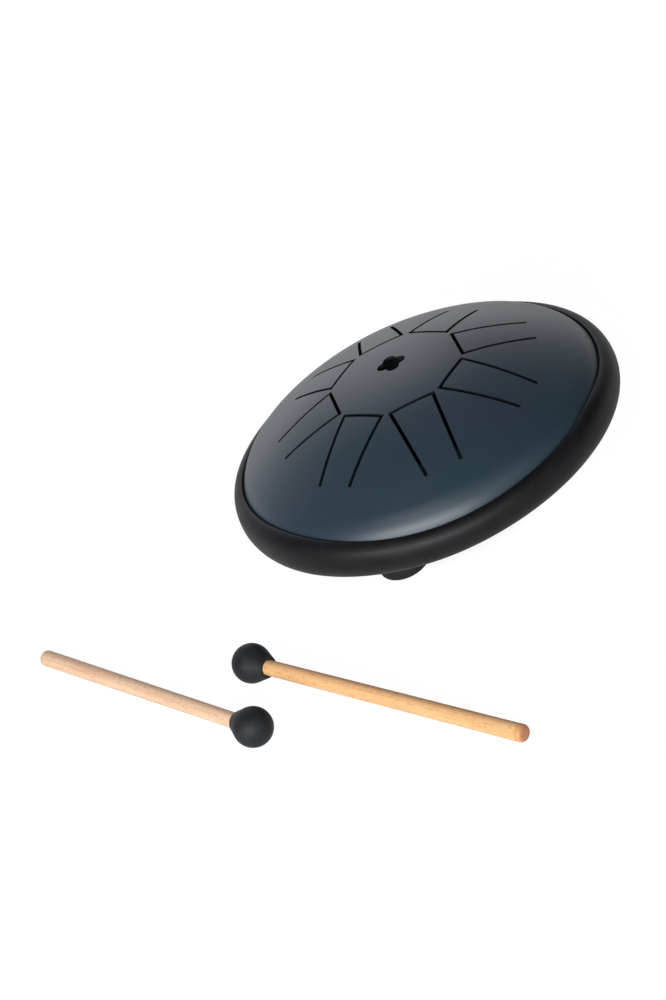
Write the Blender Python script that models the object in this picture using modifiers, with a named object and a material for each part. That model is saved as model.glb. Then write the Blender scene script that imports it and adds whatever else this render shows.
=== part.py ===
"""A small steel tongue drum with a rubber rim, three push-in feet and a pair of mallets.

Units are metres and +Z is up. The set stands on z = 0, the player sits at -Y, and the origin is
the middle of the set's footprint. The drum is built round its own axis, from the seam where its
two pressed dishes meet, and is then set down on its feet beside the mallets.
"""

import math

import bmesh
import bpy

MM = 0.001

# Clearances between pieces that touch on the real drum
SEAT_GAP = 0.3 * MM
NECK_CLEARANCE = 0.3 * MM
BORE_CLEARANCE = 0.3 * MM

# The two pressed dishes, butted at the seam under the rubber rim
SHELL_RADIUS = 77.8 * MM
SHEET = 1.2 * MM
SKIRT = 0.8 * MM
TOP_RISE = 34.0 * MM
TOP_SHOULDER = 15.9 * MM
BOTTOM_DEPTH = 20.0 * MM
BOTTOM_SHOULDER = 12.0 * MM
SOUND_HOLE_RADIUS = 15.0 * MM

# The tongues, counter-clockwise from the lowest note, which faces the player
TONGUE_LENGTHS = [length * MM for length in (34.6, 32.5, 29.0, 24.4, 22.4, 23.6, 27.3, 31.1)]
TONGUE_EDGE_DISTANCE = 27.0 * MM
TONGUE_EDGE_WIDTH = 18.5 * MM
TONGUE_ROOT_WIDTH = 14.6 * MM
SLOT_WIDTH = 1.45 * MM

# The four-lobed hole in the crown, a little behind the middle
HOLE_BEHIND_AXIS = 4.2 * MM
HOLE_RADIUS = 4.3 * MM
LOBE_RADIUS = 2.75 * MM
LOBE_DISTANCE = 3.3 * MM
LOBES = 4

# The rubber rim, a D section stretched round both skirts, its bore shaped to the two shoulders
RIM_THICKNESS = 4.4 * MM
RIM_ABOVE_SEAM = 7.8 * MM
RIM_BELOW_SEAM = 8.2 * MM
RIM_LIP_RADIUS = 0.7 * MM
RIM_UPPER_FULLNESS = 2.15
RIM_LOWER_FULLNESS = 1.8

# The feet
FEET = 3
SEAM_HEIGHT = 27.0 * MM
FOOT_CIRCLE_RADIUS = 49.7 * MM
FIRST_FOOT_BEARING = math.radians(-126.6)
FOOT_RADIUS = 10.6 * MM
FOOT_SOLE_FILLET = 2.6 * MM
NECK_RADIUS = 3.5 * MM
BULB_RADIUS = 5.2 * MM
BULB_HEIGHT = 3.6 * MM

# The mallets: a rubber head pushed on a tapered beech stick
MALLET_LENGTH = 148.6 * MM
HEAD_RADIUS = 7.9 * MM
COLLAR_RADIUS = 4.4 * MM
COLLAR_REACH = 9.4 * MM
COLLAR_ROUND = 0.4 * MM
BORE_PAST_CENTRE = 2.5 * MM
STICK_TIP_RADIUS = 3.05 * MM
STICK_TIP_CHAMFER = 0.4 * MM
STICK_BUTT_RADIUS = 3.35 * MM
STICK_BUTT_ROUND = 1.8 * MM

# Where each mallet lies: its head's centre from the drum's axis, and the way its butt points
MALLETS = {
    "mallet_1": ((-99.7 * MM, -66.8 * MM), math.radians(-53.8)),
    "mallet_2": ((-107.3 * MM, -107.0 * MM), math.radians(121.2)),
}

# Facets
SHELL_STEPS = 64
FOOT_STEPS = 24
HOLE_STEPS = 20
MALLET_STEPS = 20
CROWN_POINTS = 8
SHOULDER_POINTS = 5
BULGE_POINTS = 7
BORE_POINTS = 4
BALL_POINTS = 11
ROUND_POINTS = 3

COLOURS = {
    "steel": ((0.030, 0.050, 0.072), 0.42, 0.35),
    "rubber": ((0.016, 0.016, 0.018), 0.62, 0.0),
    "beech": ((0.690, 0.430, 0.220), 0.55, 0.0),
}


def clear_scene():
    """Remove every object that the scene starts with."""
    for obj in list(bpy.data.objects):
        bpy.data.objects.remove(obj, do_unlink=True)


def make_collection(name, parent):
    """A new collection inside parent."""
    collection = bpy.data.collections.new(name)
    parent.children.link(collection)
    return collection


def make_material(name, finish):
    """A Principled material of one of the three finishes, for one sub-part."""
    colour, roughness, metallic = COLOURS[finish]
    material = bpy.data.materials.new(name)
    material.use_nodes = True
    shader = material.node_tree.nodes["Principled BSDF"]
    shader.inputs["Base Color"].default_value = (*colour, 1.0)
    shader.inputs["Roughness"].default_value = roughness
    shader.inputs["Metallic"].default_value = metallic
    material.diffuse_color = (*colour, 1.0)
    return material


def place_in(collection, name, mesh, parent=None):
    """An object of this mesh in the collection, carried by the parent."""
    obj = bpy.data.objects.new(name, mesh)
    collection.objects.link(obj)
    obj.parent = parent
    return obj


def make_empty(collection, name, location, rotation=(0.0, 0.0, 0.0)):
    """An empty that carries the pieces of one body."""
    empty = place_in(collection, name, None)
    empty.empty_display_size = HEAD_RADIUS
    empty.location = location
    empty.rotation_euler = rotation
    return empty


def as_cutter(obj):
    """Mark an object as a tool for a Boolean, not a piece of the drum."""
    obj.hide_render = True
    obj.display_type = "WIRE"
    return obj


def arc(centre, radius, start, end, count):
    """Points on an arc, angles measured from straight up towards +r, as (r, z)."""
    centre_r, centre_z = centre
    turns = [start + (end - start) * i / (count - 1) for i in range(count)]
    return [(centre_r + radius * math.sin(a), centre_z + radius * math.cos(a)) for a in turns]


def turn(collection, name, outline, steps, parent=None, closed=False):
    """Turn an outline of (r, z) points, which runs down its outer side, about the object's Z axis."""
    mesh = bpy.data.meshes.new(name)
    shape = bmesh.new()
    points = [shape.verts.new((r, 0.0, z)) for r, z in outline]
    for first, second in zip(points, points[1:]):
        shape.edges.new((first, second))
    if closed:
        shape.edges.new((points[-1], points[0]))
    shape.to_mesh(mesh)
    shape.free()
    obj = place_in(collection, name, mesh, parent)
    screw = obj.modifiers.new("Turn", "SCREW")
    screw.axis = "Z"
    screw.steps = steps
    screw.render_steps = steps
    screw.use_merge_vertices = True
    screw.merge_threshold = 0.00001
    screw.use_smooth_shade = True
    return obj


def make_cylinder(collection, name, radius, low, high, steps, parent):
    """An upright cylinder, used as a cutter for a round hole."""
    mesh = bpy.data.meshes.new(name)
    shape = bmesh.new()
    bmesh.ops.create_cone(
        shape, cap_ends=True, segments=steps, radius1=radius, radius2=radius, depth=high - low
    )
    bmesh.ops.translate(shape, verts=shape.verts, vec=(0.0, 0.0, (low + high) / 2))
    shape.to_mesh(mesh)
    shape.free()
    return as_cutter(place_in(collection, name, mesh, parent))


def cut_with(obj, cutters):
    """Take away everything that lies inside the cutters of a collection."""
    cut = obj.modifiers.new("Cut", "BOOLEAN")
    cut.operation = "DIFFERENCE"
    cut.operand_type = "COLLECTION"
    cut.collection = cutters


def crown_of(rise, shoulder):
    """The radius of a dish's crown, which runs smoothly into its shoulder."""
    span = SHELL_RADIUS - shoulder
    height = rise - SKIRT
    return (span**2 + height**2 - shoulder**2) / (2 * (height - shoulder))


def crown_height(r, rise, shoulder, grow=0.0):
    """How far a dish's crown, thickened by grow, stands from the seam at a distance r from the axis."""
    crown = crown_of(rise, shoulder)
    return rise - crown + math.sqrt((crown + grow) ** 2 - r**2)


def dish_outline(rise, shoulder, grow=0.0):
    """Half the section of a dish, from the pole over crown and shoulder to the edge of the skirt."""
    crown = crown_of(rise, shoulder)
    span = SHELL_RADIUS - shoulder
    lean = math.atan2(span, crown - rise + SKIRT)
    over_crown = arc((0.0, rise - crown), crown + grow, 0.0, lean, CROWN_POINTS)
    over_shoulder = arc((span, SKIRT), shoulder + grow, lean, math.pi / 2, SHOULDER_POINTS)
    edge = [(SHELL_RADIUS + grow, SEAT_GAP / 2)]
    return over_crown + over_shoulder[1:] + edge


def flipped(outline):
    """An outline turned upside down, which then still runs down its outer side."""
    return [(r, -z) for r, z in reversed(outline)]


def make_shell(collection, name, outline, drum, cutters):
    """A pressed dish of sheet steel, with its holes and slots cut through."""
    shell = turn(collection, name, outline, SHELL_STEPS, drum)
    wall = shell.modifiers.new("Sheet", "SOLIDIFY")
    wall.thickness = SHEET
    wall.offset = -1.0
    wall.use_even_offset = True
    cut_with(shell, cutters)
    shell.data.materials.append(make_material(name + "_paint", "steel"))
    return shell


def make_slot_cutter(collection, place, length, drum):
    """A U of slot width round three sides of one tongue, standing up through the crown."""
    name = f"slot_{place + 1}"
    edge_x = TONGUE_EDGE_DISTANCE
    root_x = edge_x + length
    edge_y = TONGUE_EDGE_WIDTH / 2
    root_y = TONGUE_ROOT_WIDTH / 2
    path = [(root_x, -root_y), (edge_x, -edge_y), (edge_x, edge_y), (root_x, root_y)]
    mesh = bpy.data.meshes.new(name)
    shape = bmesh.new()
    points = [shape.verts.new((x, y, 0.0)) for x, y in path]
    edges = [shape.edges.new(pair) for pair in zip(points, points[1:])]
    raised = bmesh.ops.extrude_edge_only(shape, edges=edges)["geom"]
    top = [item for item in raised if isinstance(item, bmesh.types.BMVert)]
    bmesh.ops.translate(shape, verts=top, vec=(0.0, 0.0, TOP_RISE * 2))
    shape.to_mesh(mesh)
    shape.free()
    cutter = as_cutter(place_in(collection, name, mesh, drum))
    cutter.rotation_euler.z = 2 * math.pi * place / len(TONGUE_LENGTHS) - math.pi / 2
    wall = cutter.modifiers.new("Slot", "SOLIDIFY")
    wall.thickness = SLOT_WIDTH
    wall.offset = 0.0
    wall.use_even_offset = True
    return cutter


def make_top_shell(collection, tools, drum):
    """The playing dish, with a tongue for each note and the four-lobed hole in its crown."""
    cutters = make_collection("cutters_top_shell", tools)
    for place, length in enumerate(TONGUE_LENGTHS):
        make_slot_cutter(cutters, place, length, drum)
    high = TOP_RISE * 2
    middle = make_cylinder(cutters, "hole_middle", HOLE_RADIUS, 0.0, high, HOLE_STEPS, drum)
    middle.location.y = HOLE_BEHIND_AXIS
    for lobe in range(LOBES):
        turned = 2 * math.pi * lobe / LOBES
        cutter = make_cylinder(
            cutters, f"hole_lobe_{lobe + 1}", LOBE_RADIUS, 0.0, high, HOLE_STEPS, drum
        )
        cutter.location.x = LOBE_DISTANCE * math.cos(turned)
        cutter.location.y = HOLE_BEHIND_AXIS + LOBE_DISTANCE * math.sin(turned)
    return make_shell(collection, "top_shell", dish_outline(TOP_RISE, TOP_SHOULDER), drum, cutters)


def foot_bearing(foot):
    """The direction of a foot from the drum's axis."""
    return FIRST_FOOT_BEARING + 2 * math.pi * foot / FEET


def foot_place(foot):
    """The middle of a foot's sole, measured from the seam on the drum's axis."""
    bearing = foot_bearing(foot)
    return (
        FOOT_CIRCLE_RADIUS * math.cos(bearing),
        FOOT_CIRCLE_RADIUS * math.sin(bearing),
        -SEAM_HEIGHT,
    )


def make_bottom_shell(collection, tools, drum):
    """The lower dish, with a round sound hole and a hole for the neck of each foot."""
    cutters = make_collection("cutters_bottom_shell", tools)
    low = -2 * BOTTOM_DEPTH
    make_cylinder(cutters, "sound_hole", SOUND_HOLE_RADIUS, low, 0.0, SHELL_STEPS // 2, drum)
    for foot in range(FEET):
        radius = NECK_RADIUS + NECK_CLEARANCE
        cutter = make_cylinder(
            cutters, f"neck_hole_{foot + 1}", radius, 0.0, SEAM_HEIGHT, FOOT_STEPS, drum
        )
        cutter.location = foot_place(foot)
    outline = flipped(dish_outline(BOTTOM_DEPTH, BOTTOM_SHOULDER))
    return make_shell(collection, "bottom_shell", outline, drum, cutters)


def shoulder_reach(height, shoulder, grow):
    """How far a dish's shoulder, thickened by grow, stands from the axis at a height over the seam."""
    over = max(height - SKIRT, 0.0)
    return SHELL_RADIUS - shoulder + math.sqrt((shoulder + grow) ** 2 - over**2)


def quarter_section(height, fullness, shoulder):
    """Half the rim's D section, from its widest point over its lip to the seam, as (r, z) above it."""
    under_lip = height - RIM_LIP_RADIUS
    crest = shoulder_reach(under_lip, shoulder, SEAT_GAP) + RIM_LIP_RADIUS
    width = SHELL_RADIUS + SEAT_GAP + RIM_THICKNESS - crest
    turns = [math.pi / 2 * i / (BULGE_POINTS - 1) for i in range(BULGE_POINTS)]
    bulge = [
        (crest + width * math.cos(a) ** (2 / fullness), height * math.sin(a) ** (2 / fullness))
        for a in turns
    ]
    lip = arc((crest, under_lip), RIM_LIP_RADIUS, 0.0, -math.pi / 2, ROUND_POINTS)
    heights = [SKIRT + (under_lip - SKIRT) * (1 - i / BORE_POINTS) for i in range(1, BORE_POINTS + 1)]
    bore = [(shoulder_reach(z, shoulder, SEAT_GAP), z) for z in heights]
    return bulge + lip[1:] + bore


def make_rim(collection, drum):
    """The rubber rim, which hides the seam and grips both skirts."""
    above = quarter_section(RIM_ABOVE_SEAM, RIM_UPPER_FULLNESS, TOP_SHOULDER)
    below = quarter_section(RIM_BELOW_SEAM, RIM_LOWER_FULLNESS, BOTTOM_SHOULDER)
    upper = list(reversed(above))
    lower = [(r, -z) for r, z in below]
    rim = turn(collection, "rim_ring", upper + lower[1:], SHELL_STEPS, drum, closed=True)
    rim.data.materials.append(make_material("rim_rubber", "rubber"))
    return rim


def make_shell_seat(tools, drum):
    """The space that the lower dish takes, grown by the seat gap, for the feet to be fitted to."""
    outline = dish_outline(BOTTOM_DEPTH, BOTTOM_SHOULDER, grow=SEAT_GAP)
    closed_top = outline + [(0.0, SEAT_GAP / 2)]
    cutters = make_collection("cutters_feet", tools)
    as_cutter(turn(cutters, "shell_seat", flipped(closed_top), SHELL_STEPS, drum))
    return cutters


def stem_outline():
    """The neck and bulb of a foot, from the bulb's tip down to the neck's root inside the base."""
    reach = FOOT_CIRCLE_RADIUS + BULB_RADIUS
    inside = crown_height(reach, BOTTOM_DEPTH, BOTTOM_SHOULDER, grow=-SHEET)
    underside = SEAM_HEIGHT - inside + SEAT_GAP
    turns = [math.pi / 2 * i / ROUND_POINTS for i in range(ROUND_POINTS + 1)]
    bulb = [(BULB_RADIUS * math.sin(a), underside + BULB_HEIGHT * math.cos(a)) for a in turns]
    neck = [(NECK_RADIUS, underside), (NECK_RADIUS, FOOT_SOLE_FILLET), (0.0, FOOT_SOLE_FILLET)]
    return bulb + neck


def make_feet(collection, tools, drum):
    """One-piece rubber feet: a base shaped to the dish, and a neck and bulb pushed through it."""
    seat = make_shell_seat(tools, drum)
    blank_height = SEAM_HEIGHT - BOTTOM_DEPTH / 2
    corner = (FOOT_RADIUS - FOOT_SOLE_FILLET, FOOT_SOLE_FILLET)
    fillet = arc(corner, FOOT_SOLE_FILLET, math.pi / 2, math.pi, ROUND_POINTS + 1)
    base = [(0.0, blank_height), (FOOT_RADIUS, blank_height), *fillet, (0.0, 0.0)]
    for foot in range(FEET):
        name = f"foot_{foot + 1}"
        stem = as_cutter(turn(tools, f"stem_{foot + 1}", stem_outline(), FOOT_STEPS, drum))
        stem.location = foot_place(foot)
        obj = turn(collection, name, base, FOOT_STEPS, drum)
        obj.location = foot_place(foot)
        cut_with(obj, seat)
        join = obj.modifiers.new("Stem", "BOOLEAN")
        join.operation = "UNION"
        join.object = stem
        obj.data.materials.append(make_material(name + "_rubber", "rubber"))


def stick_reach():
    """From the head's centre to where the butt starts to round off."""
    return MALLET_LENGTH - HEAD_RADIUS - STICK_BUTT_ROUND


def mallet_tilt():
    """How far a mallet dips to its butt, with head and butt both on the floor."""
    return math.asin((HEAD_RADIUS - STICK_BUTT_RADIUS) / stick_reach())


def head_outline():
    """A ball that tapers to a collar, with a blind bore for the stick, from the ball's far pole."""
    distance = math.hypot(COLLAR_RADIUS, COLLAR_REACH)
    collar_angle = math.atan2(COLLAR_RADIUS, COLLAR_REACH)
    leaves_ball = math.pi - collar_angle - math.acos(HEAD_RADIUS / distance)
    ball = arc((0.0, 0.0), HEAD_RADIUS, 0.0, leaves_ball, BALL_POINTS)
    edge_centre = (COLLAR_RADIUS - COLLAR_ROUND, COLLAR_ROUND - COLLAR_REACH)
    edge = arc(edge_centre, COLLAR_ROUND, math.pi / 2, math.pi, ROUND_POINTS)
    bore_radius = STICK_TIP_RADIUS + BORE_CLEARANCE
    bore = [
        (bore_radius, -COLLAR_REACH),
        (bore_radius, BORE_PAST_CENTRE),
        (0.0, BORE_PAST_CENTRE),
    ]
    return ball + edge + bore


def stick_outline():
    """A straight taper from the tip inside the head to the rounded butt."""
    tip = BORE_PAST_CENTRE - SEAT_GAP
    chamfer = [
        (0.0, tip),
        (STICK_TIP_RADIUS - STICK_TIP_CHAMFER, tip),
        (STICK_TIP_RADIUS, tip - STICK_TIP_CHAMFER),
        (STICK_TIP_RADIUS, -COLLAR_REACH),
    ]
    centre = (STICK_BUTT_RADIUS - STICK_BUTT_ROUND, -stick_reach())
    butt = arc(centre, STICK_BUTT_ROUND, math.pi / 2, math.pi, ROUND_POINTS + 1)
    return chamfer + butt + [(0.0, -stick_reach() - STICK_BUTT_ROUND)]


def make_mallet(collection, name, head_place, heading, drum_place):
    """A mallet lying on the floor, carried by an empty at its head's centre."""
    centre = (drum_place[0] + head_place[0], drum_place[1] + head_place[1], HEAD_RADIUS)
    body = make_empty(collection, name, centre, (0.0, mallet_tilt() - math.pi / 2, heading))
    head = turn(collection, name + "_head", head_outline(), MALLET_STEPS, body)
    head.data.materials.append(make_material(name + "_head_rubber", "rubber"))
    stick = turn(collection, name + "_stick", stick_outline(), MALLET_STEPS, body)
    stick.data.materials.append(make_material(name + "_stick_beech", "beech"))


def drum_centre():
    """Where the drum's axis stands, so that the whole set's footprint is centred on the origin."""
    rim = SHELL_RADIUS + SEAT_GAP + RIM_THICKNESS
    along = math.cos(mallet_tilt()) * (MALLET_LENGTH - HEAD_RADIUS - STICK_BUTT_RADIUS)
    discs = [((0.0, 0.0), rim)]
    for (x, y), heading in MALLETS.values():
        discs.append(((x, y), HEAD_RADIUS))
        butt = (x + along * math.cos(heading), y + along * math.sin(heading))
        discs.append((butt, STICK_BUTT_RADIUS))
    middle = []
    for side in range(2):
        low = min(centre[side] - radius for centre, radius in discs)
        high = max(centre[side] + radius for centre, radius in discs)
        middle.append(-(low + high) / 2)
    return middle


def main():
    clear_scene()
    scene = bpy.context.scene.collection
    collection = make_collection("tongue_drum", scene)
    tools = make_collection("cutters", scene)
    centre_x, centre_y = drum_centre()
    drum = make_empty(collection, "drum", (centre_x, centre_y, SEAM_HEIGHT))
    make_top_shell(collection, tools, drum)
    make_bottom_shell(collection, tools, drum)
    make_rim(collection, drum)
    make_feet(collection, tools, drum)
    for name, (head_place, heading) in MALLETS.items():
        make_mallet(collection, name, head_place, heading, (centre_x, centre_y))
    bpy.context.view_layer.update()
    print("drum axis at", round(centre_x, 5), round(centre_y, 5))
    for foot in range(FEET):
        x, y, _ = foot_place(foot)
        print(f"sole of foot_{foot + 1} at", round(centre_x + x, 5), round(centre_y + y, 5))


main()
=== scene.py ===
"""The looks of a small steel tongue drum, its rubber rim and feet, and its two mallets.

Every piece is turned from half a section, as the real ones are pressed, moulded or turned, and is
then cut, given its wall and set in its place. Units are metres, +Z is up and the player sits at -Y.
"""

import logging
import math
from collections.abc import Iterable
from dataclasses import dataclass, field
from enum import Enum
from typing import Any, Union

import bmesh
import bpy
from mathutils import Matrix, Vector


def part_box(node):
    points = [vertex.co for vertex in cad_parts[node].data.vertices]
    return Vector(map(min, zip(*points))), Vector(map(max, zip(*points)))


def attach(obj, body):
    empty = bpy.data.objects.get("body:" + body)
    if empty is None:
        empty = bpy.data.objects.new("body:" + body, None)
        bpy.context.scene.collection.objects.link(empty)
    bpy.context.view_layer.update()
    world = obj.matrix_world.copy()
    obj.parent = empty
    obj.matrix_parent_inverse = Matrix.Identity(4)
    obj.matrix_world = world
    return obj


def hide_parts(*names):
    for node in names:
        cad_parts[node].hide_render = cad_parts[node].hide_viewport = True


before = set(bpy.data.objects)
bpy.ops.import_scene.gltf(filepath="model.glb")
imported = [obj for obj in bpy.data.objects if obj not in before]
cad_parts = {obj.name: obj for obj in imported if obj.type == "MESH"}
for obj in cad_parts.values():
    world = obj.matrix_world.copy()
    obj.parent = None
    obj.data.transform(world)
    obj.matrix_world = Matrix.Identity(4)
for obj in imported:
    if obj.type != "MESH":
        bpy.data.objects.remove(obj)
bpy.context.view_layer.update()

log = logging.getLogger("tongue_drum")

MM = 0.001
TINY = 1e-6
FULL_TURN = 2 * math.pi
QUARTER_TURN = math.pi / 2
SEAT_GAP = 0.3 * MM
SHARP_ANGLE = math.radians(38)
NOISE_MIDDLE = 0.5
OWN_PLACE = "own_place"

Colour = tuple[float, float, float]
Point = tuple[float, float]
Feed = Union["Socket", float, Colour, bpy.types.NodeSocket]


class Body(Enum):
    """The bodies that the pieces ride on."""

    DRUM = "drum"
    FIRST_MALLET = "mallet_1"
    SECOND_MALLET = "mallet_2"


class Slot(Enum):
    """The material slots of the record."""

    PAINT = "shell_paint"
    RIM = "rim_rubber"
    FOOT = "foot_rubber"
    HEAD = "mallet_rubber"
    WOOD = "mallet_wood"


class Place(Enum):
    """Where a pattern takes its coordinates from."""

    OBJECT = "object"
    OWN = "own"


# Shader sums


class Socket:
    """A value in a shader, on which sums are written in Python and become Math nodes."""

    def __init__(self, graph: "Graph", output: bpy.types.NodeSocket) -> None:
        """Wrap one output of a node.

        Args:
            graph: The shader that the node is in.
            output: The node's output socket.
        """
        self.graph = graph
        self.output = output

    def _sum(self, operation: str, *values: Feed) -> "Socket":
        """A Math node with its values in order."""
        return self.graph.node("Math", dict(enumerate(values)), operation=operation)

    def __add__(self, other: Feed) -> "Socket":
        """This value plus another."""
        return self._sum("ADD", self, other)

    def __sub__(self, other: Feed) -> "Socket":
        """This value less another."""
        return self._sum("SUBTRACT", self, other)

    def __rsub__(self, other: Feed) -> "Socket":
        """Another value less this one."""
        return self._sum("SUBTRACT", other, self)

    def __mul__(self, other: Feed) -> "Socket":
        """This value times another."""
        return self._sum("MULTIPLY", self, other)

    def __abs__(self) -> "Socket":
        """This value without its sign."""
        return self._sum("ABSOLUTE", self)

    def rise(self, start: float, end: float) -> "Socket":
        """A smooth step that is 0 at start and 1 at end.

        Args:
            start: The value at which the step leaves 0.
            end: The value at which it reaches 1.

        Returns:
            The step, held between 0 and 1.
        """
        inputs = {"Value": self, "From Min": start, "From Max": end}
        return self.graph.node("MapRange", inputs, interpolation_type="SMOOTHSTEP")


class Graph:
    """The nodes of one material or world."""

    def __init__(self, tree: bpy.types.NodeTree) -> None:
        """Start with an empty tree.

        Args:
            tree: The node tree to fill.
        """
        tree.nodes.clear()
        self.tree = tree

    def feed(self, socket: bpy.types.NodeSocket, value: Feed) -> None:
        """Link or set one input.

        Args:
            socket: The input to feed.
            value: A socket to link, or a number or colour to set.
        """
        if isinstance(value, Socket):
            self.tree.links.new(value.output, socket)
        elif isinstance(value, tuple) and socket.type == "RGBA":
            socket.default_value = (*value, 1.0)
        else:
            socket.default_value = value

    def node(self, kind: str, inputs: dict | None = None, out: int | str = 0,
             **settings: Any) -> Socket:
        """Add a node of any type.

        Args:
            kind: The node's type, without the word ShaderNode.
            inputs: The values or links of its sockets, by name or number.
            out: Which output to hand back.
            settings: Its settings, set first. For a ramp, stops holds (place, colour) pairs.

        Returns:
            The chosen output.
        """
        made = self.tree.nodes.new("ShaderNode" + kind)
        for name, value in settings.items():
            if name == "stops":
                self._set_stops(made.color_ramp, value)
            else:
                setattr(made, name, value)
        for name, value in (inputs or {}).items():
            self.feed(made.inputs[name], value)
        return Socket(self, made.outputs[out])

    @staticmethod
    def _set_stops(ramp: bpy.types.ColorRamp, stops: Iterable[tuple[float, Colour]]) -> None:
        """Give a ramp its stops.

        Args:
            ramp: The ramp of a Color Ramp node.
            stops: (place, colour) pairs in order.
        """
        stops = list(stops)
        while len(ramp.elements) < len(stops):
            ramp.elements.new(1.0)
        for element, (place, colour) in zip(ramp.elements, stops):
            element.position = place
            element.color = (*colour, 1.0)

    def between(self, mask: Feed, first: Feed, second: Feed) -> Socket:
        """A colour between two.

        Args:
            mask: 0 for the first colour, 1 for the second.
            first: The colour where the mask is 0.
            second: The colour where it is 1.

        Returns:
            The mixed colour.
        """
        return self.node("Mix", {0: mask, 6: first, 7: second}, out=2, data_type="RGBA")

    def place(self, source: Place = Place.OBJECT) -> Socket:
        """The coordinates of a point, in metres.

        Args:
            source: The object's coordinates, or those that the piece was made in.

        Returns:
            A vector output.
        """
        if source is Place.OWN:
            return self.node("Attribute", out="Vector", attribute_name=OWN_PLACE)
        return self.node("TexCoord", out="Object")

    def noise(self, place: Socket, grain: tuple | float, detail: float = 2.0,
              roughness: float = 0.5) -> Socket:
        """Soft noise about as coarse as a real size.

        Args:
            place: The coordinates that it is drawn on.
            grain: The size of its features in metres, the same all ways or by axis.
            detail: How many finer layers are added.
            roughness: How strong the finer layers are.

        Returns:
            A value around 0.5.
        """
        sizes = grain if isinstance(grain, tuple) else (grain,) * 3
        scale = tuple(1.0 / size for size in sizes)
        scaled = self.node("Mapping", {"Vector": place, "Scale": scale})
        inputs = {"Vector": scaled, "Scale": 1.0, "Detail": detail, "Roughness": roughness}
        return self.node("TexNoise", inputs)

    def surface(self, shader: Socket, kind: str = "OutputMaterial") -> None:
        """Link the shader to the output.

        Args:
            shader: The finished shader.
            kind: The output's type, which is another one for a world.
        """
        end = self.tree.nodes.new("ShaderNode" + kind)
        self.tree.links.new(shader.output, end.inputs["Surface"])

    def coat(self, colour: Feed, roughness: Feed, height: Socket, specular: float = 0.5) -> None:
        """Make the surface one opaque, unmetallic coat.

        Args:
            colour: Its colour.
            roughness: Its roughness.
            height: Its fine relief, in metres.
            specular: Its specular level, 0.5 for a usual plastic.
        """
        bump = self.node("Bump", {"Strength": 1.0, "Distance": 1.0, "Height": height})
        self.surface(self.node("BsdfPrincipled", {
            "Base Color": colour,
            "Roughness": roughness,
            "Specular IOR Level": specular,
            "Normal": bump,
        }))


# Finishes


class Finish:
    """A look that materials are made with."""

    def make(self, name: str) -> bpy.types.Material:
        """Make a material with this look.

        Args:
            name: The material's name.

        Returns:
            The finished material.
        """
        material = bpy.data.materials.new(name)
        material.use_nodes = True
        self.fill(Graph(material.node_tree))
        return material

    def fill(self, graph: Graph) -> None:
        """Build the shader.

        Args:
            graph: The material's empty graph.
        """
        raise NotImplementedError


@dataclass(frozen=True)
class PowderCoat(Finish):
    """Satin powder coat on pressed steel: dark navy grey, with a fine grain that breaks up gloss."""

    navy: Colour = (0.0145, 0.0275, 0.0435)
    teal: Colour = (0.0120, 0.0290, 0.0415)
    cloud_size: float = 60 * MM
    cloud_edges: Point = (0.35, 0.65)
    grain_size: float = 0.55 * MM
    grain_height: float = 0.013 * MM
    orange_peel_size: float = 3.0 * MM
    orange_peel_height: float = 0.006 * MM
    roughness: float = 0.41
    roughness_play: float = 0.08

    def fill(self, graph: Graph) -> None:
        """Build the shader.

        Args:
            graph: The material's empty graph.
        """
        place = graph.place()
        cloud = graph.noise(place, self.cloud_size, detail=1.0).rise(*self.cloud_edges)
        grain = graph.noise(place, self.grain_size, detail=3.0, roughness=0.6)
        peel = graph.noise(place, self.orange_peel_size, detail=1.0)
        height = grain * self.grain_height + peel * self.orange_peel_height
        speck = (grain - NOISE_MIDDLE) * self.roughness_play
        graph.coat(graph.between(cloud, self.navy, self.teal), speck + self.roughness, height)


@dataclass(frozen=True)
class CutEdgeShade(Finish):
    """The cut edge of the sheet in the slots and the hole: rough, and coloured near black as painted
    shade for the dark slots.
    """

    # Painted shade: the walls are near black, a little paler where the grain rises.
    dark: Colour = (0.0018, 0.0040, 0.0070)
    paler_shade: Colour = (0.0040, 0.0075, 0.0115)
    grain_size: float = 0.8 * MM
    grain_height: float = 0.02 * MM
    paler_shade_edges: Point = (0.4, 0.65)
    roughness: float = 0.75
    specular: float = 0.2

    def fill(self, graph: Graph) -> None:
        """Build the shader.

        Args:
            graph: The material's empty graph.
        """
        grain = graph.noise(graph.place(), self.grain_size)
        colour = graph.between(grain.rise(*self.paler_shade_edges), self.dark, self.paler_shade)
        graph.coat(colour, self.roughness, grain * self.grain_height, self.specular)


@dataclass(frozen=True)
class MouldedRubber(Finish):
    """Matte black rubber with a faint bloom, which handling has rubbed off in patches."""

    black: Colour
    bloom: Colour
    roughness: float
    specular: float = 0.25
    place: Place = Place.OBJECT
    roughness_play: float = 0.08
    patch_size: float = 14 * MM
    patch_edges: Point = (0.3, 0.75)
    grain_size: float = 0.35 * MM
    grain_height: float = 0.012 * MM
    parting_line: float = 0.0

    def fill(self, graph: Graph) -> None:
        """Build the shader.

        Args:
            graph: The material's empty graph.
        """
        place = graph.place(self.place)
        patch = graph.noise(place, self.patch_size, detail=4.0, roughness=0.6)
        patch = patch.rise(*self.patch_edges)
        height = graph.noise(place, self.grain_size) * self.grain_height
        if self.parting_line:
            across = graph.node("SeparateXYZ", {"Vector": place}, out="Y")
            line = 1.0 - abs(across).rise(0.0, self.parting_line)
            height = height + line * (self.parting_line / 2)
        colour = graph.between(patch, self.black, self.bloom)
        graph.coat(colour, patch * self.roughness_play + self.roughness, height, self.specular)


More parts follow.
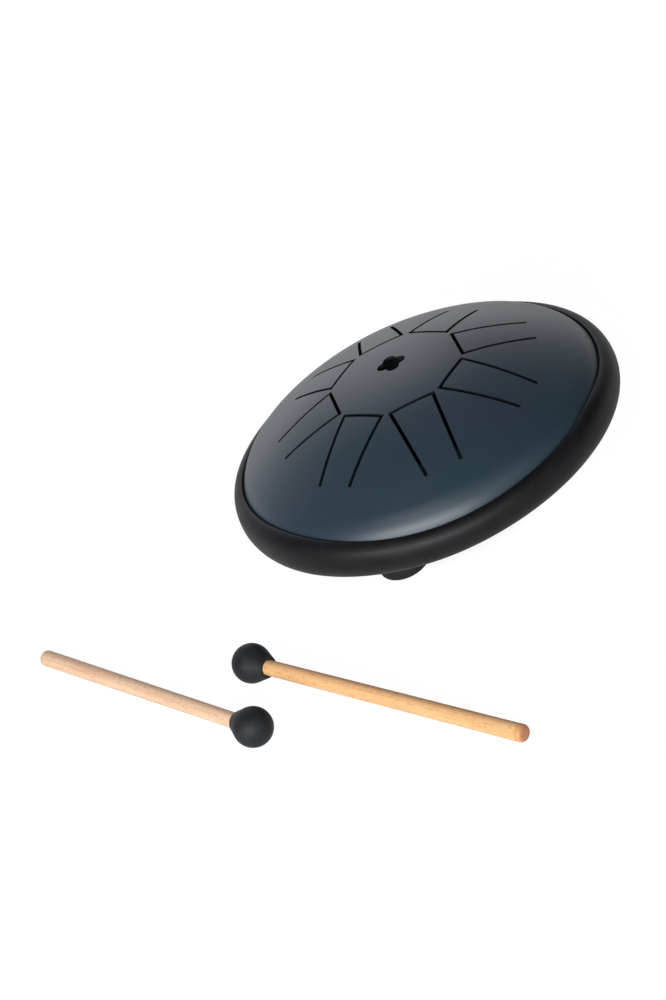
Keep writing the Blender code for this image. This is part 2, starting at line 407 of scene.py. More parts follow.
@dataclass(frozen=True)
class SandedBeech(Finish):
    """Bare sanded beech: pale, with soft streaks along the stick and short dark ray flecks."""

    pale: Colour
    warm: Colour
    fleck: Colour = (0.44, 0.18, 0.06)
    turned_end: Colour = (0.49, 0.21, 0.065)
    end_grain: Colour = (0.40, 0.165, 0.08)
    streak_size: tuple = (0.9 * MM, 0.9 * MM, 34 * MM)
    streak_edges: Point = (0.36, 0.68)
    fleck_size: tuple = (0.36 * MM, 0.36 * MM, 1.9 * MM)
    fleck_edges: Point = (0.57, 0.70)
    fleck_share: float = 0.75
    fleck_depth: float = 0.010 * MM
    fibre_size: tuple = (0.16 * MM, 0.16 * MM, 5 * MM)
    fibre_height: float = 0.012 * MM
    roughness: float = 0.52
    roughness_play: float = 0.12
    butt: float = -140.7 * MM
    turned_length: float = 3.6 * MM
    turned_share: float = 0.7
    end_grain_length: float = 1.0 * MM
    seed: float = 0.0

    def fill(self, graph: Graph) -> None:
        """Build the shader.

        Args:
            graph: The material's empty graph.
        """
        own = graph.place(Place.OWN)
        shift = (self.seed,) * 3
        place = graph.node("VectorMath", {0: own, 1: shift}, operation="ADD")
        streak = graph.noise(place, self.streak_size).rise(*self.streak_edges)
        fleck = graph.noise(place, self.fleck_size, detail=1.0).rise(*self.fleck_edges)
        fibre = graph.noise(place, self.fibre_size)
        along = graph.node("SeparateXYZ", {"Vector": own}, out="Z")
        turned = along.rise(self.butt + self.turned_length, self.butt + self.turned_length / 2)
        cut = along.rise(self.butt + self.end_grain_length, self.butt + self.end_grain_length / 4)
        colour = graph.between(streak, self.pale, self.warm)
        colour = graph.between(fleck * self.fleck_share, colour, self.fleck)
        colour = graph.between(turned * self.turned_share, colour, self.turned_end)
        colour = graph.between(cut, colour, self.end_grain)
        height = fibre * self.fibre_height - fleck * self.fleck_depth
        graph.coat(colour, fibre * self.roughness_play + self.roughness, height)


@dataclass(frozen=True)
class StudioFloor(Finish):
    """The plain white table, white to the camera but for a soft painted shade under the drum, where
    its colour darkens and its white glow fades.
    """

    under: Vector
    white: Colour = (0.82, 0.82, 0.82)
    # Painted shade: the table's colour under the drum.
    shade: Colour = (0.16, 0.16, 0.16)
    glow: float = 1.04
    camera_share: float = 0.94
    gloss_share: float = 0.45
    dark_within: float = 26 * MM
    clear_from: float = 56 * MM

    def fill(self, graph: Graph) -> None:
        """Build the shader.

        Args:
            graph: The material's empty graph.
        """
        camera = graph.node("LightPath", out="Is Camera Ray")
        gloss = graph.node("LightPath", out="Is Glossy Ray")
        through = graph.node("LightPath", out="Is Transmission Ray")
        away = graph.node("VectorMath", {0: graph.place(), 1: self.under}, operation="DISTANCE",
                          out="Value")
        # Painted shade: darker colour and no glow within dark_within of the drum's axis, fading out
        # by clear_from.
        clear = away.rise(self.dark_within, self.clear_from)
        share = (camera * self.camera_share + (gloss + through) * self.gloss_share) * clear
        plain = graph.node("BsdfDiffuse", {"Color": graph.between(clear, self.shade, self.white)})
        bright = graph.node("Emission", {"Color": (1.0, 1.0, 1.0), "Strength": self.glow})
        graph.surface(graph.node("MixShader", {0: share, 1: plain, 2: bright}))


# Shapes


class Outline:
    """Half a section in the XZ plane, drawn as one line and then turned about the Z axis."""

    def __init__(self, r: float, z: float) -> None:
        """Start the line at a point.

        Args:
            r: The point's distance from the axis.
            z: Its height.
        """
        self.shape = bmesh.new()
        self.start = self.shape.verts.new((r, 0.0, z))
        self.end = self.start

    def line(self, r: float, z: float, steps: int = 1) -> "Outline":
        """Draw a straight line on to a point.

        Args:
            r: The point's distance from the axis.
            z: Its height.
            steps: How many equal lengths the line is made of.

        Returns:
            The outline itself.
        """
        start = self.end.co.copy()
        goal = Vector((r, 0.0, z))
        for step in range(steps):
            made = bmesh.ops.extrude_vert_indiv(self.shape, verts=[self.end])
            self.end = made["verts"][0]
            self.end.co = start.lerp(goal, (step + 1) / steps)
        return self

    def through(self, points: Iterable[Point]) -> "Outline":
        """Draw on through points of a curve that has no centre.

        Args:
            points: (r, z) pairs in order.

        Returns:
            The outline itself.
        """
        for r, z in points:
            self.line(r, z)
        return self

    def arc(self, r: float, z: float, angle: float, steps: int) -> "Outline":
        """Draw an arc round a centre.

        Args:
            r: The centre's distance from the axis.
            z: Its height.
            angle: How far to go, clockwise where r grows to the right.
            steps: How many equal lengths the arc is made of.

        Returns:
            The outline itself.
        """
        made = bmesh.ops.spin(
            self.shape, geom=[self.end], cent=(r, 0.0, z), axis=(0.0, 1.0, 0.0),
            angle=angle, steps=steps, use_merge=False, use_duplicate=False,
        )
        self.end = next(item for item in made["geom_last"] if isinstance(item, bmesh.types.BMVert))
        return self

    def close(self) -> "Outline":
        """Join the line's end to its start."""
        self.shape.edges.new((self.end, self.start))
        return self

    def turned(self, steps: int) -> bmesh.types.BMesh:
        """Turn the line once about the Z axis.

        Args:
            steps: How many facets go round.

        Returns:
            The turned shape, closed at its seam and poles, with its faces recalculated.
        """
        shape = self.shape
        bmesh.ops.spin(
            shape, geom=shape.verts[:] + shape.edges[:], cent=(0.0, 0.0, 0.0),
            axis=(0.0, 0.0, 1.0), angle=FULL_TURN, steps=steps, use_merge=True,
            use_duplicate=False,
        )
        bmesh.ops.remove_doubles(shape, verts=shape.verts, dist=TINY)
        bmesh.ops.recalc_face_normals(shape, faces=shape.faces)
        return shape


def edge_loop_near(shape: bmesh.types.BMesh, centre: Vector, reach: float) -> list:
    """The open edges round a hole.

    Args:
        shape: The shape with the hole.
        centre: A point on the hole's axis.
        reach: How far from that axis the edges may lie.

    Returns:
        The edges that have one face and lie within reach.
    """
    return [
        edge for edge in shape.edges
        if edge.is_boundary and all((vert.co - centre).xy.length < reach for vert in edge.verts)
    ]


def finish_piece(name: str, shape: bmesh.types.BMesh, place: Matrix) -> bpy.types.Object:
    """Make an object of a shape, with its place in its mesh.

    Args:
        name: The object's name.
        shape: The finished shape, in its own coordinates, which are kept as an attribute.
        place: Where it goes.

    Returns:
        The object, which sits at the origin.
    """
    layer = shape.verts.layers.float_vector.new(OWN_PLACE)
    for vert in shape.verts:
        vert[layer] = vert.co
    bmesh.ops.transform(shape, matrix=place, verts=shape.verts)
    for face in shape.faces:
        face.smooth = True
    mesh = bpy.data.meshes.new(name)
    shape.to_mesh(mesh)
    shape.free()
    mesh.set_sharp_from_angle(angle=SHARP_ANGLE)
    piece = bpy.data.objects.new(name, mesh)
    bpy.context.scene.collection.objects.link(piece)
    return piece


def dress(piece: bpy.types.Object, material: bpy.types.Material, body: Body,
          node: str) -> None:
    """Give a piece its finish and its part in the frame.

    Args:
        piece: The object.
        material: Its finish.
        body: The body that it moves with.
        node: The CAD node that it replaces.
    """
    piece.data.materials.append(material)
    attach(piece, body.value)
    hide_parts(node)
    log.info("%s: %d faces, rides on %s", piece.name, len(piece.data.polygons), body.value)


@dataclass(frozen=True)
class DishForm:
    """The section of a pressed dish above its seam: a shallow crown, a shoulder, a short skirt."""

    rise: float
    shoulder: float
    radius: float = 77.8 * MM
    skirt: float = 0.8 * MM
    sheet: float = 1.2 * MM

    @property
    def span(self) -> float:
        """The radius of the ring that the shoulder is rounded about."""
        return self.radius - self.shoulder

    @property
    def crown(self) -> float:
        """The radius of the crown, which runs smoothly into the shoulder."""
        height = self.rise - self.skirt
        return (self.span**2 + height**2 - self.shoulder**2) / (2 * (height - self.shoulder))

    @property
    def lean(self) -> float:
        """The slope where the crown turns into the shoulder."""
        return math.atan2(self.span, self.crown - self.rise + self.skirt)

    def height(self, r: float, grow: float = 0.0) -> float:
        """How far the dish stands from its seam.

        Args:
            r: The distance from the axis.
            grow: How much thicker the dish is taken to be.

        Returns:
            The height of the surface there.
        """
        crown = self.crown + grow
        if r < crown * math.sin(self.lean):
            return self.rise - self.crown + math.sqrt(crown**2 - r**2)
        shoulder = self.shoulder + grow
        inside = shoulder**2 - (r - self.span) ** 2
        return self.skirt + math.sqrt(max(inside, 0.0))

    def reach(self, height: float, grow: float = 0.0) -> float:
        """How far the shoulder stands from the axis.

        Args:
            height: The height above the seam, no more than where the shoulder begins.
            grow: How much thicker the dish is taken to be.

        Returns:
            The radius of the surface there.
        """
        over = max(height - self.skirt, 0.0)
        return self.span + math.sqrt((self.shoulder + grow) ** 2 - over**2)

    def outline(self, hole: float, crown_steps: int, shoulder_steps: int) -> Outline:
        """Half the section, from the edge of a middle hole to the edge of the skirt.

        Args:
            hole: The radius at which the outline starts.
            crown_steps: How many lengths the crown is made of.
            shoulder_steps: How many lengths the shoulder is made of.

        Returns:
            The outline.
        """
        begins = math.asin(hole / self.crown)
        outline = Outline(hole, self.height(hole))
        outline.arc(0.0, self.rise - self.crown, self.lean - begins, crown_steps)
        outline.arc(self.span, self.skirt, QUARTER_TURN - self.lean, shoulder_steps)
        return outline.line(self.radius, SEAT_GAP / 2)

    def thicken(self, shape: bmesh.types.BMesh) -> None:
        """Bring a cut sheet back onto the dish, face it up and give it its wall underneath.

        Args:
            shape: The sheet.
        """
        for vert in shape.verts:
            r = vert.co.xy.length
            if r < self.radius - TINY:
                vert.co.z = self.height(r)
        shape.normal_update()
        if sum(face.normal.z for face in shape.faces) < 0:
            bmesh.ops.reverse_faces(shape, faces=shape.faces)
        bmesh.ops.solidify(shape, geom=shape.faces[:], thickness=self.sheet)


TOP_FORM = DishForm(rise=34.0 * MM, shoulder=15.9 * MM)
BOTTOM_FORM = DishForm(rise=20 * MM, shoulder=12 * MM)


@dataclass
class TongueSlots:
    """The U-shaped slots that free eight tongues in the crown, longest tongue towards the player."""

    lengths: tuple = (34.6, 32.5, 29.0, 24.4, 22.4, 23.6, 27.3, 31.1)
    edge_distance: float = 27.0 * MM
    half_edge: float = 9.25 * MM
    half_root: float = 7.3 * MM
    half_width: float = 0.725 * MM
    margin: float = 3.0 * MM
    first_bearing: float = -QUARTER_TURN

    def cut(self, shape: bmesh.types.BMesh) -> None:
        """Cut every slot through a sheet.

        Args:
            shape: The crown's sheet, without its wall.
        """
        for place, length in enumerate(self.lengths):
            bearing = self.first_bearing + FULL_TURN * place / len(self.lengths)
            facing = Matrix.Rotation(-bearing, 3, "Z")
            bmesh.ops.rotate(shape, verts=shape.verts, cent=(0.0, 0.0, 0.0), matrix=facing)
            self._cut_one(shape, self.edge_distance + length * MM)
            facing.transpose()
            bmesh.ops.rotate(shape, verts=shape.verts, cent=(0.0, 0.0, 0.0), matrix=facing)

    def _side(self, root: float, hand: int) -> tuple[Vector, Vector]:
        """One long side of a tongue that points along +X.

        Args:
            root: The distance of the tongue's root from the axis.
            hand: 1 for the side at +Y, -1 for the side at -Y.

        Returns:
            A point on the slot's middle line, and the direction square to it, away from the tongue.
        """
        point = Vector((self.edge_distance, hand * self.half_edge, 0.0))
        along = Vector((root, hand * self.half_root, 0.0)) - point
        return point, Vector((-hand * along.y, hand * along.x, 0.0)).normalized()

    def _near(self, shape: bmesh.types.BMesh, root: float) -> list:
        """The faces round a tongue that points along +X, with their edges and points.

        Args:
            shape: The sheet.
            root: The distance of the tongue's root from the axis.

        Returns:
            The geometry that may be cut for it.
        """
        faces = []
        for face in shape.faces:
            centre = face.calc_center_median()
            inside = self.edge_distance - self.margin < centre.x < root + self.margin
            if inside and abs(centre.y) < self.half_edge + self.margin:
                faces.append(face)
        edges = {edge for face in faces for edge in face.edges}
        points = {vert for face in faces for vert in face.verts}
        return [*points, *edges, *faces]

    def _cut_one(self, shape: bmesh.types.BMesh, root: float) -> None:
        """Cut the slot round the tongue that now points along +X.

        Args:
            shape: The sheet, turned so that the tongue does so.
            root: The distance of the tongue's root from the axis.
        """
        ahead = Vector((1.0, 0.0, 0.0))
        edge_point = Vector((self.edge_distance, 0.0, 0.0))
        sides = [self._side(root, hand) for hand in (1, -1)]
        planes = [(Vector((root, 0.0, 0.0)), ahead)]
        for point, normal in [(edge_point, ahead), *sides]:
            planes += [(point + normal * self.half_width * way, normal) for way in (-1, 1)]
        for point, normal in planes:
            near = self._near(shape, root)
            bmesh.ops.bisect_plane(shape, geom=near, dist=TINY, plane_co=point, plane_no=normal)
        doomed = []
        for face in self._near(shape, root):
            if isinstance(face, bmesh.types.BMFace):
                centre = face.calc_center_median()
                centre.z = 0.0
                outs = [(centre - point).dot(normal) for point, normal in sides]
                past_edge = centre.x - self.edge_distance
                in_edge = abs(past_edge) < self.half_width and max(outs) < self.half_width
                in_side = min(abs(out) for out in outs) < self.half_width
                in_reach = -self.half_width < past_edge and centre.x < root
                if in_edge or (in_side and in_reach):
                    doomed.append(face)
        bmesh.ops.delete(shape, geom=doomed, context="FACES")


@dataclass
class CrownHole:
    """The four-lobed hole in the crown, a little behind the middle."""

    behind: float = 4.2 * MM
    radius: float = 4.3 * MM
    lobe_radius: float = 2.75 * MM
    lobe_distance: float = 3.3 * MM
    lobes: int = 4
    ring: float = 14.0 * MM
    steps: int = 10

    def reach(self, bearing: float) -> float:
        """How far the hole's edge is from its middle.

        Args:
            bearing: The direction from the middle.

        Returns:
            The distance of the edge that way.
        """
        share = FULL_TURN / self.lobes
        off_lobe = (bearing + share / 2) % share - share / 2
        aside = self.lobe_distance * math.sin(off_lobe)
        if abs(aside) >= self.lobe_radius:
            return self.radius
        out = self.lobe_distance * math.cos(off_lobe)
        return max(self.radius, out + math.sqrt(self.lobe_radius**2 - aside**2))

    def draw_in(self, shape: bmesh.types.BMesh) -> None:
        """Draw the sheet in from its round inner ring to the hole's lobed edge.

        Args:
            shape: The sheet, whose inner edge is a ring.
        """
        edges = edge_loop_near(shape, Vector(), self.ring + MM)
        for step in range(1, self.steps + 1):
            made = bmesh.ops.extrude_edge_only(shape, edges=edges)["geom"]
            edges = [item for item in made if isinstance(item, bmesh.types.BMEdge)]
            points = [item for item in made if isinstance(item, bmesh.types.BMVert)]
            edges = [edge for edge in edges if edge.is_boundary]
            for vert in points:
                away = vert.co - Vector((0.0, self.behind, vert.co.z))
                left = self.steps + 1 - step
                nearer = away.length - (away.length - self.reach(math.atan2(away.y, away.x))) / left
                vert.co += away * (nearer / away.length - 1.0)
        bmesh.ops.recalc_face_normals(shape, faces=shape.faces)


@dataclass
class Dishes:
    """The two pressed dishes of the drum's body."""

    place: Matrix
    slots: TongueSlots = field(default_factory=TongueSlots)
    hole: CrownHole = field(default_factory=CrownHole)
    feet: list = field(default_factory=list)
    steps: int = 256
    bottom_steps: int = 192
    sound_hole: float = 15 * MM
    neck_hole: float = 3.8 * MM
    neck_hole_steps: int = 48
    cleared: float = 6.5 * MM
    cleared_edge: float = 3 * MM
    wall_slope: float = 0.6

    def build(self) -> None:
        """Build and dress both dishes."""
        finish = PowderCoat()
        top = finish_piece("playing_dish", self.top_shape(), self.place)
        dress(top, finish.make("playing_dish_paint"), Body.DRUM, "top_shell")
        # Second material: the painted shade on the walls of the slots and the hole.
        top.data.materials.append(CutEdgeShade().make("playing_dish_cut_edge_shade"))
        bottom = finish_piece("sound_hole_dish", self.bottom_shape(), self.place)
        dress(bottom, finish.make("sound_hole_dish_paint"), Body.DRUM, "bottom_shell")

    def top_shape(self) -> bmesh.types.BMesh:
        """The playing dish, with its tongues and its lobed hole.

        Returns:
            The shape, in the drum's own coordinates.
        """
        shape = TOP_FORM.outline(self.hole.ring, crown_steps=44, shoulder_steps=16).turned(self.steps)
        self.hole.draw_in(shape)
        self.slots.cut(shape)
        TOP_FORM.thicken(shape)
        shape.normal_update()
        # Steep faces inside the shoulder are the walls of the slots and the hole, which take the
        # painted shade.
        for face in shape.faces:
            is_wall = abs(face.normal.z) < self.wall_slope
            face.material_index = int(is_wall and face.calc_center_median().xy.length < TOP_FORM.span)
        return shape

    def bottom_shape(self) -> bmesh.types.BMesh:
        """The lower dish, with the sound hole and a hole for each foot's neck.

        Returns:
            The shape, in the drum's own coordinates.
        """
        outline = BOTTOM_FORM.outline(self.sound_hole, crown_steps=30, shoulder_steps=12)
        shape = outline.turned(self.bottom_steps)
        for x, y in self.feet:
            self._pierce(shape, Vector((x, y, 0.0)))
        BOTTOM_FORM.thicken(shape)
        bmesh.ops.scale(shape, vec=(1.0, 1.0, -1.0), verts=shape.verts)
        bmesh.ops.reverse_faces(shape, faces=shape.faces)
        return shape

    def _pierce(self, shape: bmesh.types.BMesh, centre: Vector) -> None:
        """Make a round hole in a sheet.

        Args:
            shape: The sheet.
            centre: A point on the hole's axis.
        """
        doomed = [
            face for face in shape.faces
            if (face.calc_center_median() - centre).xy.length < self.cleared
        ]
        bmesh.ops.delete(shape, geom=doomed, context="FACES")
        outer = edge_loop_near(shape, centre, self.cleared + self.cleared_edge)
        ring = bmesh.ops.create_circle(
            shape, segments=self.neck_hole_steps, radius=self.neck_hole,
            matrix=Matrix.Translation(centre + Vector((0.0, 0.0, BOTTOM_FORM.height(centre.length)))),
        )["verts"]
        inner = {edge for vert in ring for edge in vert.link_edges}
        bmesh.ops.bridge_loops(shape, edges=[*outer, *inner])
        bmesh.ops.recalc_face_normals(shape, faces=shape.faces)


@dataclass
class RubberRim:
    """The rubber ring, a D section stretched round the seam of the two dishes."""

    place: Matrix
    thickness: float = 4.4 * MM
    above: float = 7.8 * MM
    below: float = 8.2 * MM
    lip: float = 0.7 * MM
    upper_fullness: float = 2.15
    lower_fullness: float = 1.8
    bore_steps: int = 6
    bulge_steps: int = 26
    lip_steps: int = 6
    steps: int = 256
    waves: tuple = ((-149, 38, 2.7), (-97, 38, -2.5), (-37, 12, 1.1))
    foot_waves: tuple = ((-100, 20, -0.5), (-38, 26, 0.5))

    @property
    def outer(self) -> float:
        """The radius of the widest part."""
        return TOP_FORM.radius + SEAT_GAP + self.thickness

    def half(self, height: float, fullness: float, form: DishForm) -> list[Point]:
        """Half of the D over one dish: up its bore, over its lip and down to its widest point.

        Args:
            height: How far the lip's crest is from the seam.
            fullness: 2 for an ellipse, more for a squarer bulge.
            form: The dish that the bore is shaped to.

        Returns:
            (r, z) points above the seam.
        """
        shares = [step / self.bore_steps for step in range(self.bore_steps + 1)]
        top = height - self.lip
        levels = [form.skirt + (top - form.skirt) * share for share in shares]
        points = [(form.reach(z, SEAT_GAP), z) for z in levels]
        crest = points[-1][0] + self.lip
        for step in range(1, self.lip_steps + 1):
            a = QUARTER_TURN * step / self.lip_steps
            points.append((crest - self.lip * math.cos(a), top + self.lip * math.sin(a)))
        for step in range(1, self.bulge_steps + 1):
            a = QUARTER_TURN * (1 - step / self.bulge_steps)
            out = (self.outer - crest) * math.cos(a) ** (2 / fullness)
            points.append((crest + out, height * math.sin(a) ** (2 / fullness)))
        return points

    def build(self) -> None:
        """Build and dress the rim."""
        upper = self.half(self.above, self.upper_fullness, TOP_FORM)
        lower = self.half(self.below, self.lower_fullness, BOTTOM_FORM)
        outline = Outline(*upper[0]).through(upper[1:])
        outline.through((r, -z) for r, z in lower[-2::-1])
        shape = outline.close().turned(self.steps)
        self._ease_lip(shape)
        rubber = MouldedRubber(
            black=(0.0034, 0.0034, 0.0044), bloom=(0.0060, 0.0060, 0.0074), roughness=0.46,
            specular=0.21,
        )
        rim = finish_piece("seam_rim", shape, self.place)
        dress(rim, rubber.make("rim_rubber_black"), Body.DRUM, "rim_ring")

    def _climb(self, bearing: float, waves: tuple) -> float:
        """How far a lip stands above its even height.

        Args:
            bearing: The direction from the axis.
            waves: Each wave's bearing and width in degrees, and its size in mm.

        Returns:
            The climb, which is below zero where the lip sags.
        """
        total = 0.0
        for at, width, size in waves:
            off = math.remainder(bearing - math.radians(at), FULL_TURN) / math.radians(width)
            total += size * MM * math.exp(-off**2)
        return total

    def _ease_lip(self, shape: bmesh.types.BMesh) -> None:
        """Let the stretched ring sit unevenly, with its lip and bore still snug on the dish.

        Args:
            shape: The turned ring.
        """
        for vert in shape.verts:
            r = vert.co.xy.length
            bearing = math.atan2(vert.co.y, vert.co.x)
            if vert.co.z < 0:
                vert.co.z *= 1 - self._climb(bearing, self.foot_waves) / self.below
            else:
                even = vert.co.z
                vert.co.z *= 1 + self._climb(bearing, self.waves) / self.above
                inward = (self.outer - r) / (self.outer - TOP_FORM.reach(even))
                grown = (TOP_FORM.reach(vert.co.z) - TOP_FORM.reach(even)) * inward
                vert.co.x *= 1 + grown / r
                vert.co.y *= 1 + grown / r


@dataclass
class Feet:
    """One-piece rubber feet, each pushed through the lower dish by its neck."""

    place: Matrix
    seam_height: float = 27.0 * MM
    circle: float = 49.7 * MM
    first_bearing: float = math.radians(-126.6)
    count: int = 3
    radius: float = 10.6 * MM
    fillet: float = 2.6 * MM
    neck: float = 3.5 * MM
    bulb: float = 5.2 * MM
    bulb_height: float = 3.6 * MM
    edge: float = 0.4 * MM
    bulb_steps: int = 10
    steps: int = 64

    def places(self) -> list[Point]:
        """Where the feet stand round the drum's axis.

        Returns:
            (x, y) of each foot.
        """
        turns = [self.first_bearing + FULL_TURN * foot / self.count for foot in range(self.count)]
        return [(self.circle * math.cos(turn), self.circle * math.sin(turn)) for turn in turns]

    def outline(self, top: float, underside: float) -> Outline:
        """Half the section of a foot, from the middle of its sole to the tip of its bulb.

        Args:
            top: The height at which the base is drawn before it is fitted to the dish.
            underside: The height of the bulb's flat underside.

        Returns:
            The outline.
        """
        outline = Outline(0.0, 0.0).line(self.radius - self.fillet, 0.0, steps=5)
        outline.arc(self.radius - self.fillet, self.fillet, -QUARTER_TURN, steps=10)
        outline.line(self.radius, top - self.edge, steps=6)
        outline.arc(self.radius - self.edge, top - self.edge, -QUARTER_TURN, steps=4)
        outline.line(self.neck, top, steps=8)
        outline.line(self.neck, underside)
        outline.line(self.bulb, underside)
        turns = [QUARTER_TURN * step / self.bulb_steps for step in range(1, self.bulb_steps)]
        outline.through(
            (self.bulb * math.cos(turn), underside + self.bulb_height * math.sin(turn))
            for turn in turns
        )
        return outline.line(0.0, underside + self.bulb_height)

    def build(self) -> None:
        """Build and dress the feet."""
        reach = self.circle + self.bulb
        underside = self.seam_height - BOTTOM_FORM.height(reach, -BOTTOM_FORM.sheet) + SEAT_GAP
        top = self.seam_height - BOTTOM_FORM.height(self.circle)
        rubber = MouldedRubber(
            black=(0.005, 0.005, 0.006), bloom=(0.008, 0.008, 0.009), roughness=0.55
        )
        for number, (x, y) in enumerate(self.places(), start=1):
            shape = self.outline(top, underside).turned(self.steps)
            bmesh.ops.translate(shape, verts=shape.verts, vec=(x, y, 0.0))
            self._fit(shape, top)
            bmesh.ops.translate(shape, verts=shape.verts, vec=(0.0, 0.0, -self.seam_height))
            foot = finish_piece(f"foot_pad_{number}", shape, self.place)
            material = rubber.make(f"foot_pad_{number}_rubber")
            dress(foot, material, Body.DRUM, f"foot_{number}")

    def _fit(self, shape: bmesh.types.BMesh, top: float) -> None:
        """Shape a base's top to the underside of the dish, and leave its sole flat.

        Args:
            shape: The foot, standing in its place on the floor.
            top: The height at which the base's top was drawn.
        """
        for vert in shape.verts:
            if self.fillet < vert.co.z < top + TINY:
                under = BOTTOM_FORM.height(vert.co.xy.length, SEAT_GAP)
                share = (vert.co.z - self.fillet) / (top - self.fillet)
                vert.co.z += (self.seam_height - under - top) * share


@dataclass
class Mallet:
    """A rubber head on a turned beech stick, lying on the floor."""

    body: Body
    drum_axis: Vector
    head_from_axis: Point
    heading: float
    wood: SandedBeech
    length: float = 148.6 * MM
    head: float = 7.9 * MM
    collar: float = 4.4 * MM
    collar_reach: float = 9.4 * MM
    collar_round: float = 0.4 * MM
    bore_past_centre: float = 2.5 * MM
    tip: float = 3.05 * MM
    chamfer: float = 0.4 * MM
    butt: float = 3.35 * MM
    butt_round: float = 1.8 * MM
    steps: int = 72

    @property
    def reach(self) -> float:
        """From the head's centre to where the butt starts to round off."""
        return self.length - self.head - self.butt_round

    @property
    def place(self) -> Matrix:
        """Where the mallet lies, with its head and its butt on the floor.

        Returns:
            The place, in which the mallet's own -Z runs down the stick.
        """
        x, y = self.head_from_axis
        centre = Vector((self.drum_axis.x + x, self.drum_axis.y + y, self.head))
        dip = math.asin((self.head - self.butt) / self.reach)
        turned = Matrix.Rotation(self.heading, 4, "Z") @ Matrix.Rotation(dip - QUARTER_TURN, 4, "Y")
        return Matrix.Translation(centre) @ turned

    def head_shape(self) -> bmesh.types.BMesh:
        """A ball that tapers to a collar, with a blind bore for the stick.

        Returns:
            The shape, in the mallet's own coordinates.
        """
        distance = math.hypot(self.collar, self.collar_reach)
        leaves_ball = math.pi - math.atan2(self.collar, self.collar_reach)
        leaves_ball -= math.acos(self.head / distance)
        bore = self.tip + SEAT_GAP
        outline = Outline(0.0, self.head).arc(0.0, 0.0, leaves_ball, steps=36)
        outline.line(self.collar, self.collar_round - self.collar_reach, steps=4)
        edge_centre = (self.collar - self.collar_round, self.collar_round - self.collar_reach)
        outline.arc(*edge_centre, QUARTER_TURN, steps=5)
        outline.line(bore, -self.collar_reach)
        outline.line(bore, self.bore_past_centre, steps=4)
        outline.line(0.0, self.bore_past_centre)
        return outline.turned(self.steps)

    def stick_shape(self) -> bmesh.types.BMesh:
        """A straight taper from the tip inside the head to the rounded butt.

        Returns:
            The shape, in the mallet's own coordinates.
        """
        tip_end = self.bore_past_centre - SEAT_GAP
        outline = Outline(0.0, tip_end).line(self.tip - self.chamfer, tip_end)
        outline.line(self.tip, tip_end - self.chamfer)
        outline.line(self.tip, -self.collar_reach)
        outline.line(self.butt, -self.reach, steps=40)
        outline.arc(self.butt - self.butt_round, -self.reach, QUARTER_TURN, steps=10)
        outline.line(0.0, -self.reach - self.butt_round)
        return outline.turned(self.steps)

    def build(self) -> None:
        """Build and dress the head and the stick."""
        name = self.body.value
        rubber = MouldedRubber(
            black=(0.007, 0.008, 0.010), bloom=(0.0115, 0.0135, 0.0155), roughness=0.55,
            place=Place.OWN, patch_size=6 * MM, parting_line=0.12 * MM,
        )
        head = finish_piece(f"{name}_ball", self.head_shape(), self.place)
        dress(head, rubber.make(f"{name}_ball_rubber"), self.body, f"{name}_head")
        stick = finish_piece(f"{name}_shaft", self.stick_shape(), self.place)
        dress(stick, self.wood.make(f"{name}_shaft_beech"), self.body, f"{name}_stick")


# The studio


@dataclass(frozen=True)
class Lamp:
    """A softbox, which faces the drum from a bearing and an elevation in degrees."""

    name: str
    bearing: float
    elevation: float
    width: float
    height: float
    power: float
    distance: float = 1.5

    def hang(self, middle: Vector) -> None:
        """Hang the lamp.

        Args:
            middle: The point that it faces.
        """
        light = bpy.data.lights.new(self.name, "AREA")
        light.shape = "RECTANGLE"
        light.size = self.width
        light.size_y = self.height
        light.energy = self.power
        lamp = bpy.data.objects.new(self.name, light)
        bpy.context.scene.collection.objects.link(lamp)
        bearing = math.radians(self.bearing)
        elevation = math.radians(self.elevation)
        flat = math.cos(elevation)
        way = Vector((flat * math.sin(bearing), flat * math.cos(bearing), math.sin(elevation)))
        lamp.location = middle + way * self.distance
        lamp.rotation_euler = way.to_track_quat("Z", "Y").to_euler()


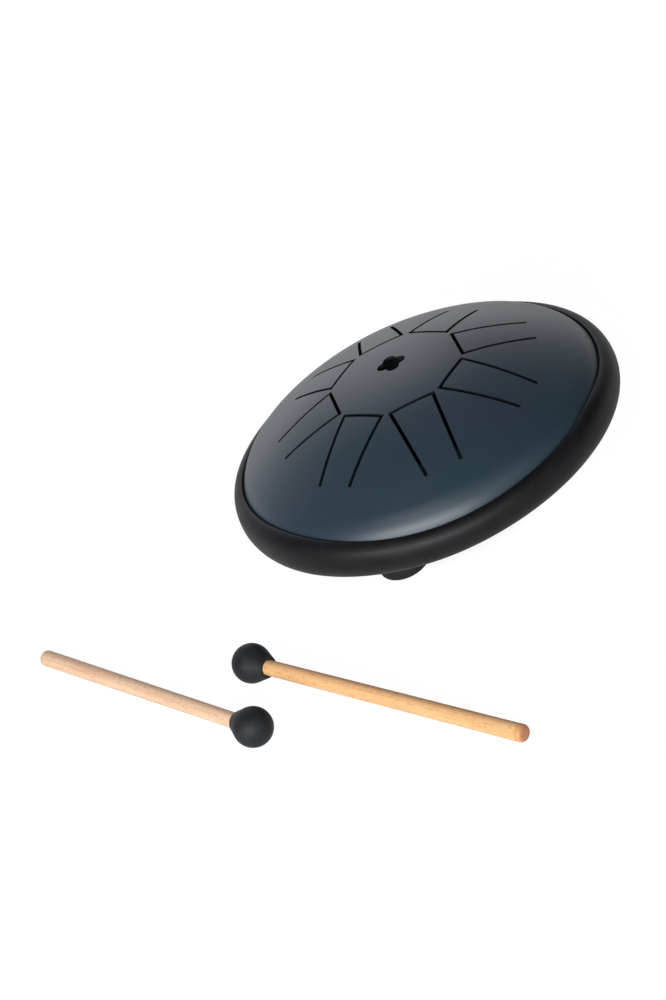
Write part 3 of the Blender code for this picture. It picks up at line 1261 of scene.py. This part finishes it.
@dataclass
class Studio:
    """A white table under soft light, and the camera at the photograph's angle."""

    drum_axis: Vector
    camera_from_seam: Vector = Vector((-0.016660, -1.036772, 0.601131))
    heading: float = math.radians(1.5603)
    pitch: float = math.radians(30.4633)
    roll: float = math.radians(-26.8584)
    lens: float = 107.2528
    half_pixel: float = 0.0005
    clip_end: float = 20.0
    floor_size: float = 8.0
    floor_drop: float = 0.1 * MM
    lamps: tuple = (
        Lamp("front_softbox", -154, 18, width=1.60, height=0.40, power=32.0),
        Lamp("upper_softbox", -149, 54, width=0.90, height=0.45, power=3.4),
        Lamp("back_softbox", 0, 35, width=0.60, height=0.60, power=1.5),
        Lamp("side_softbox", 150, 28, width=0.60, height=0.60, power=1.6),
    )
    back_wall: float = math.radians(-5)
    back_edges: Point = (0.3, 1.1)
    back_light: tuple = (
        (0.0, 1.75), (0.14, 1.68), (0.26, 0.96), (0.55, 0.74), (0.75, 0.12), (1.0, 0.18)
    )
    side_light: float = 0.10
    cool: float = 1.07

    def build(self) -> None:
        """Lay the floor, hang the lamps and set up the camera."""
        self._lay_floor()
        self._light_world()
        for lamp in self.lamps:
            lamp.hang(self.drum_axis)
        self._set_camera()
        bpy.context.scene.view_settings.view_transform = "Standard"
        log.info("studio: %d lamps, lens %.1f mm", len(self.lamps), self.lens)

    def _lay_floor(self) -> None:
        """Lay the plain white table."""
        shape = bmesh.new()
        bmesh.ops.create_grid(shape, x_segments=2, y_segments=2, size=self.floor_size / 2)
        drop = Matrix.Translation((0.0, 0.0, -self.floor_drop))
        floor = finish_piece("white_table", shape, drop)
        under = Vector((self.drum_axis.x, self.drum_axis.y, -self.floor_drop))
        floor.data.materials.append(StudioFloor(under).make("white_table_top"))

    def _light_world(self) -> None:
        """Surround the table with soft light, brightest low at the back, and white to the camera."""
        world = bpy.data.worlds.new("white_room")
        world.use_nodes = True
        graph = Graph(world.node_tree)
        way = graph.node("TexCoord", out="Generated")
        up = graph.node("SeparateXYZ", {"Vector": way}, out="Z")
        stops = [(place, (level, level, level * self.cool)) for place, level in self.back_light]
        back = graph.node("ValToRGB", {"Fac": up}, stops=stops)
        level_way = graph.node("VectorMath", {0: way, 1: (1.0, 1.0, 0.0)}, operation="MULTIPLY")
        level_way = graph.node("VectorMath", {0: level_way}, operation="NORMALIZE")
        to_back = (math.sin(self.back_wall), math.cos(self.back_wall), 0.0)
        ahead = graph.node("VectorMath", {0: level_way, 1: to_back}, operation="DOT_PRODUCT",
                           out="Value")
        side = (self.side_light,) * 3
        glow = graph.between(ahead.rise(*self.back_edges), side, back)
        camera = graph.node("LightPath", out="Is Camera Ray")
        colour = graph.between(camera, glow, (1.0, 1.0, 1.0))
        light = graph.node("Background", {"Color": colour, "Strength": 1.0})
        graph.surface(light, "OutputWorld")
        bpy.context.scene.world = world

    def _set_camera(self) -> None:
        """Stand the camera where the photograph was taken from."""
        data = bpy.data.cameras.new("photo_view")
        data.lens = self.lens
        data.clip_end = self.clip_end
        data.shift_x = -self.half_pixel
        data.shift_y = self.half_pixel
        camera = bpy.data.objects.new("photo_view", data)
        bpy.context.scene.collection.objects.link(camera)
        turned = (
            Matrix.Rotation(self.heading, 4, "Z")
            @ Matrix.Rotation(QUARTER_TURN - self.pitch, 4, "X")
            @ Matrix.Rotation(self.roll, 4, "Z")
        )
        place = Matrix.Translation(self.drum_axis + self.camera_from_seam)
        camera.matrix_world = place @ turned
        bpy.context.scene.camera = camera


def main() -> None:
    """Build the drum, the mallets and the studio, in order."""
    logging.basicConfig(level=logging.INFO, format="%(name)s %(message)s")
    low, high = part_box("rim_ring")
    drum_axis = (low + high) / 2
    drum_axis.z = low.z + RubberRim.below
    place = Matrix.Translation(drum_axis)
    feet = Feet(place)
    Dishes(place, feet=feet.places()).build()
    RubberRim(place).build()
    feet.build()
    orange_beech = SandedBeech(pale=(0.66, 0.395, 0.185), warm=(0.62, 0.34, 0.14))
    pink_beech = SandedBeech(
        pale=(0.69, 0.475, 0.32), warm=(0.64, 0.39, 0.235), fleck=(0.44, 0.22, 0.12),
        turned_end=(0.60, 0.37, 0.21), end_grain=(0.54, 0.31, 0.18), seed=0.37,
    )
    Mallet(
        Body.FIRST_MALLET, drum_axis, head_from_axis=(-99.7 * MM, -66.8 * MM),
        heading=math.radians(-53.8), wood=orange_beech,
    ).build()
    Mallet(
        Body.SECOND_MALLET, drum_axis, head_from_axis=(-107.3 * MM, -107.0 * MM),
        heading=math.radians(121.2), wood=pink_beech,
    ).build()
    Studio(drum_axis).build()


if __name__ == "__main__":
    main()
